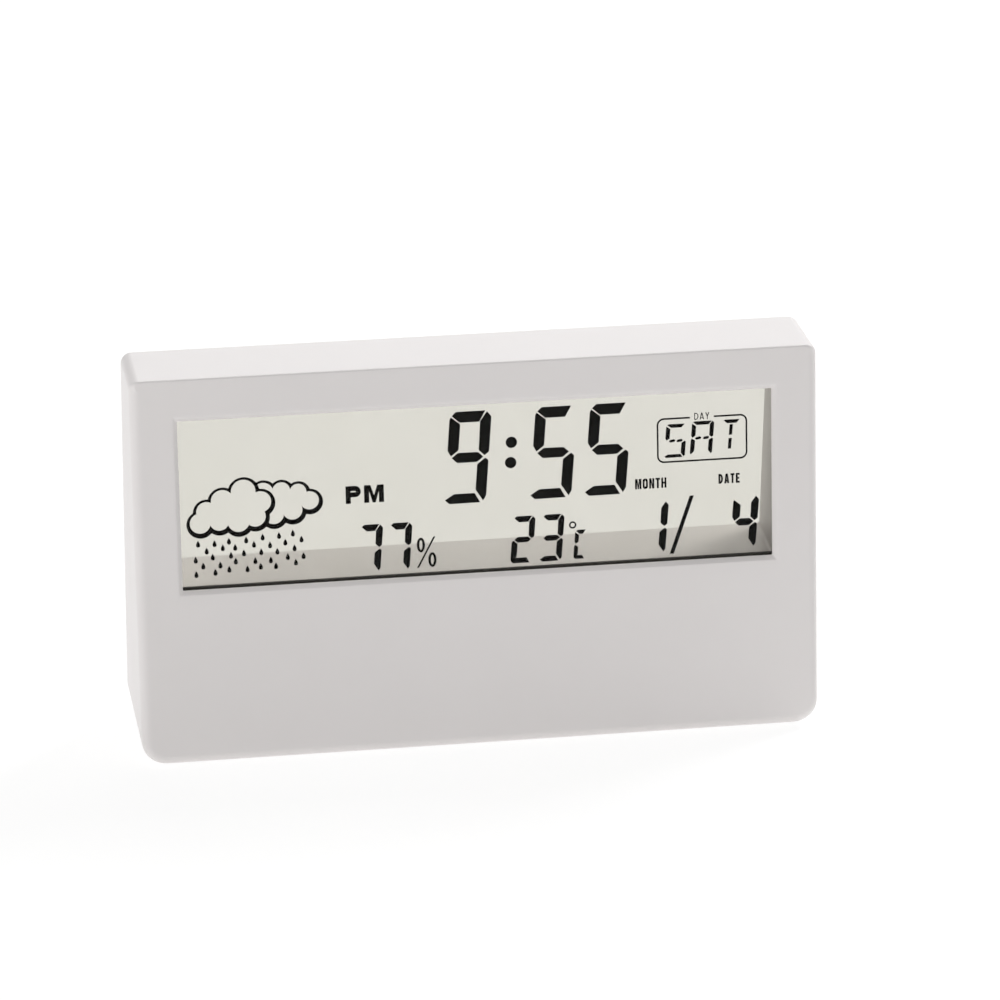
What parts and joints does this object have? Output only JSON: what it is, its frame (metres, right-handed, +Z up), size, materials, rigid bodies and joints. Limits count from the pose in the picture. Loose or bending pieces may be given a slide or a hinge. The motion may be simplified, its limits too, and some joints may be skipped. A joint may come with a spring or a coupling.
{
  "type": "digital alarm clock",
  "caption": "Wedge-shaped desk clock with a see-through liquid crystal display in its upper half, push buttons and a hinged battery door on its rear.",
  "frame": {"origin": "middle of the foot pads' footprint, on the surface that the clock stands on", "axes": "+X to the right as the reader faces the display, +Y from the front to the rear, +Z up"},
  "size_m": [0.14, 0.0354, 0.0804],
  "materials": {
    "white_abs": "fine satin moulding, off-white",
    "button_abs": "satin moulding, light grey",
    "clear_acrylic": "polished clear sheet",
    "display_glass": "polished, faint green tint",
    "polariser_film": "smooth film, warm grey tint",
    "black_foam": "closed-cell foam, matt",
    "ribbon_film": "amber film",
    "board_laminate": "green solder mask",
    "black_epoxy": "cast resin",
    "nickel_steel": "nickel-plated spring steel",
    "zinc_steel": "bright zinc plating",
    "capacitor_sleeve": "shrink sleeve",
    "black_plastic": "moulded, satin",
    "sensor_plastic": "moulded, matt",
    "cell_wrap": "printed sleeve, plain",
    "red_insulation": "extruded insulation",
    "black_insulation": "extruded insulation",
    "grey_silicone": "moulded pad, matt"
  },
  "bodies": {
    "case": {"front_shell": "white_abs", "rear_cover": "white_abs", "front_lens": "clear_acrylic", "rear_lens": "clear_acrylic", "screen_gasket": "black_foam", "front_polariser": "polariser_film", "rear_polariser": "polariser_film", "lcd_front_glass": "display_glass", "lcd_rear_glass": "display_glass", "display_ribbon": "ribbon_film", "circuit_board": "board_laminate", "controller_blob": "black_epoxy", "crystal": "nickel_steel", "capacitor": "capacitor_sleeve", "buzzer": "black_plastic", "humidity_sensor": "sensor_plastic", "aaa_cell_lower": "cell_wrap", "aaa_cell_upper": "cell_wrap", "positive_contact": "nickel_steel", "negative_contact": "nickel_steel", "link_contact": "nickel_steel", "red_lead": "red_insulation", "black_lead": "black_insulation", "mode_switch": "black_plastic", "set_switch": "black_plastic", "up_switch": "black_plastic", "down_switch": "black_plastic", "case_screw_1": "zinc_steel", "case_screw_2": "zinc_steel", "case_screw_3": "zinc_steel", "case_screw_4": "zinc_steel", "board_screw_1": "zinc_steel", "board_screw_2": "zinc_steel", "foot_front_left": "grey_silicone", "foot_front_right": "grey_silicone", "foot_rear_left": "grey_silicone", "foot_rear_right": "grey_silicone"},
    "mode_key": {"mode_button": "button_abs", "mode_plunger": "black_plastic"},
    "set_key": {"set_button": "button_abs", "set_plunger": "black_plastic"},
    "up_key": {"up_button": "button_abs", "up_plunger": "black_plastic"},
    "down_key": {"down_button": "button_abs", "down_plunger": "black_plastic"},
    "door": {"battery_door": "white_abs"}
  },
  "joints": [
    {"name": "mode_press", "type": "slide", "parent": "case", "child": "mode_key", "axis": [0, -0.9943, -0.1069], "range_m": [0, 0.0005], "stiffness_N_per_m": 800},
    {"name": "set_press", "type": "slide", "parent": "case", "child": "set_key", "axis": [0, -0.9943, -0.1069], "range_m": [0, 0.0005], "stiffness_N_per_m": 800},
    {"name": "up_press", "type": "slide", "parent": "case", "child": "up_key", "axis": [0, -0.9943, -0.1069], "range_m": [0, 0.0005], "stiffness_N_per_m": 800},
    {"name": "down_press", "type": "slide", "parent": "case", "child": "down_key", "axis": [0, -0.9943, -0.1069], "range_m": [0, 0.0005], "stiffness_N_per_m": 800},
    {"name": "door_hinge", "type": "hinge", "parent": "case", "child": "door", "pos_m": [0, 0.01752, 0.00488], "axis": [-1, 0, 0], "range_deg": [0, 60]}
  ]
}
